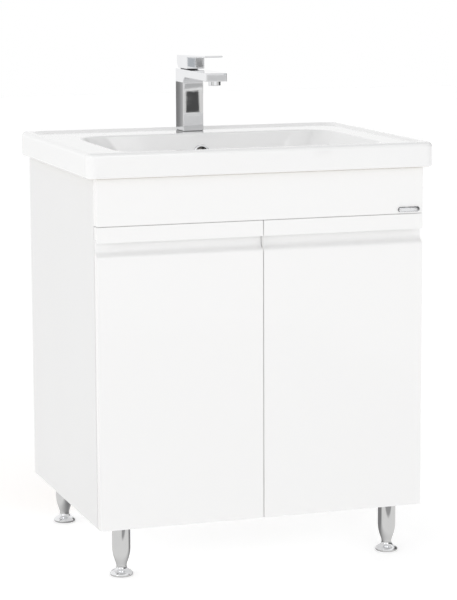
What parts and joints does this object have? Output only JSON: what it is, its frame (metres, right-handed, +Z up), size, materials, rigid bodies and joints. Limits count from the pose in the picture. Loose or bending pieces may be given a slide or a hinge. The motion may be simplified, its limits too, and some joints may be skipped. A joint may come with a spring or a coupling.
{
  "type": "bathroom vanity cabinet",
  "caption": "White two-door vanity cabinet on chrome legs with a ceramic basin, lever tap, push-open waste and bottle trap.",
  "frame": {"origin": "on the floor, under the middle of the unit's outer box", "axes": "+X to the right of someone facing the unit, -Y the front (doors), +Z up"},
  "size_m": [0.65, 0.499, 0.9161],
  "materials": {
    "lacquered_board": "high-gloss white lacquer on fibreboard",
    "faced_board": "satin white faced board",
    "thin_backing": "white hardboard",
    "ceramic": "white glaze",
    "chrome_plate": "polished chrome",
    "dark_metal": "dark satin",
    "zinc_steel": "zinc-plated",
    "brass_parts": "turned brass",
    "soft_rubber": "matte",
    "silicone": "white silicone",
    "white_plastic": "moulded white"
  },
  "bodies": {
    "cabinet": {"back_panel": "thin_backing", "badge": "chrome_plate", "basin": "ceramic", "basin_seal": "silicone", "bottom_panel": "faced_board", "cam_locks": "zinc_steel", "fascia_panel": "lacquered_board", "front_rail": "faced_board", "hinge_arms": "zinc_steel", "hinge_plate_screws": "zinc_steel", "hinge_plates": "zinc_steel", "leg_front_left": "chrome_plate", "leg_front_right": "chrome_plate", "leg_plate_screws": "zinc_steel", "leg_plates": "zinc_steel", "leg_rear_left": "chrome_plate", "leg_rear_right": "chrome_plate", "overflow_ring": "chrome_plate", "rear_rail": "faced_board", "shelf": "faced_board", "shelf_pins": "zinc_steel", "side_panel_left": "faced_board", "side_panel_right": "faced_board", "tap_aerator": "chrome_plate", "tap_base_gasket": "soft_rubber", "tap_body": "chrome_plate", "tap_cartridge": "white_plastic", "tap_clamp_nut": "brass_parts", "tap_clamp_washer": "zinc_steel", "tap_shank": "brass_parts", "trap_body": "white_plastic", "trap_cup": "white_plastic", "trap_inlet_nut": "white_plastic", "trap_inlet_pipe": "white_plastic", "trap_outlet_nut": "white_plastic", "trap_outlet_pipe": "white_plastic", "wall_plate_screws": "zinc_steel", "wall_plates": "zinc_steel", "waste_body": "chrome_plate", "waste_gaskets": "soft_rubber", "waste_nut": "white_plastic"},
    "door_left": {"door_left": "lacquered_board", "hinge_cups_left": "zinc_steel", "hinge_pins_left": "zinc_steel", "hinge_cup_screws_left": "zinc_steel", "door_bumpers_left": "soft_rubber"},
    "door_right": {"door_right": "lacquered_board", "hinge_cups_right": "zinc_steel", "hinge_pins_right": "zinc_steel", "hinge_cup_screws_right": "zinc_steel", "door_bumpers_right": "soft_rubber"},
    "foot_front_left": {"foot_front_left": "chrome_plate"},
    "foot_front_right": {"foot_front_right": "chrome_plate"},
    "foot_rear_left": {"foot_rear_left": "chrome_plate"},
    "foot_rear_right": {"foot_rear_right": "chrome_plate"},
    "waste_plug": {"waste_plug": "chrome_plate"},
    "tap_stem": {"tap_stem": "dark_metal"},
    "tap_lever": {"tap_lever": "chrome_plate", "tap_lever_pin": "zinc_steel"}
  },
  "joints": [
    {"name": "door_left_hinge", "type": "hinge", "parent": "cabinet", "child": "door_left", "pos_m": [-0.3005, -0.2285, 0.352], "axis": [0, 0, -1], "range_deg": [0, 95]},
    {"name": "door_right_hinge", "type": "hinge", "parent": "cabinet", "child": "door_right", "pos_m": [0.3005, -0.2285, 0.352], "axis": [0, 0, 1], "range_deg": [0, 95]},
    {"name": "tap_swivel", "type": "hinge", "parent": "cabinet", "child": "tap_stem", "pos_m": [0, 0.194, 0.88], "axis": [0, 0, 1], "range_deg": [-45, 45]},
    {"name": "lever_tilt", "type": "hinge", "parent": "tap_stem", "child": "tap_lever", "pos_m": [0, 0.2065, 0.8935], "axis": [-1, 0, 0], "range_deg": [0, 20]},
    {"name": "plug_lift", "type": "slide", "parent": "cabinet", "child": "waste_plug", "axis": [0, 0, 1], "range_m": [0, 0.006]},
    {"name": "foot_front_left_level", "type": "slide", "parent": "cabinet", "child": "foot_front_left", "axis": [0, 0, -1], "range_m": [0, 0.01]},
    {"name": "foot_front_right_level", "type": "slide", "parent": "cabinet", "child": "foot_front_right", "axis": [0, 0, -1], "range_m": [0, 0.01]},
    {"name": "foot_rear_left_level", "type": "slide", "parent": "cabinet", "child": "foot_rear_left", "axis": [0, 0, -1], "range_m": [0, 0.01]},
    {"name": "foot_rear_right_level", "type": "slide", "parent": "cabinet", "child": "foot_rear_right", "axis": [0, 0, -1], "range_m": [0, 0.01]}
  ]
}
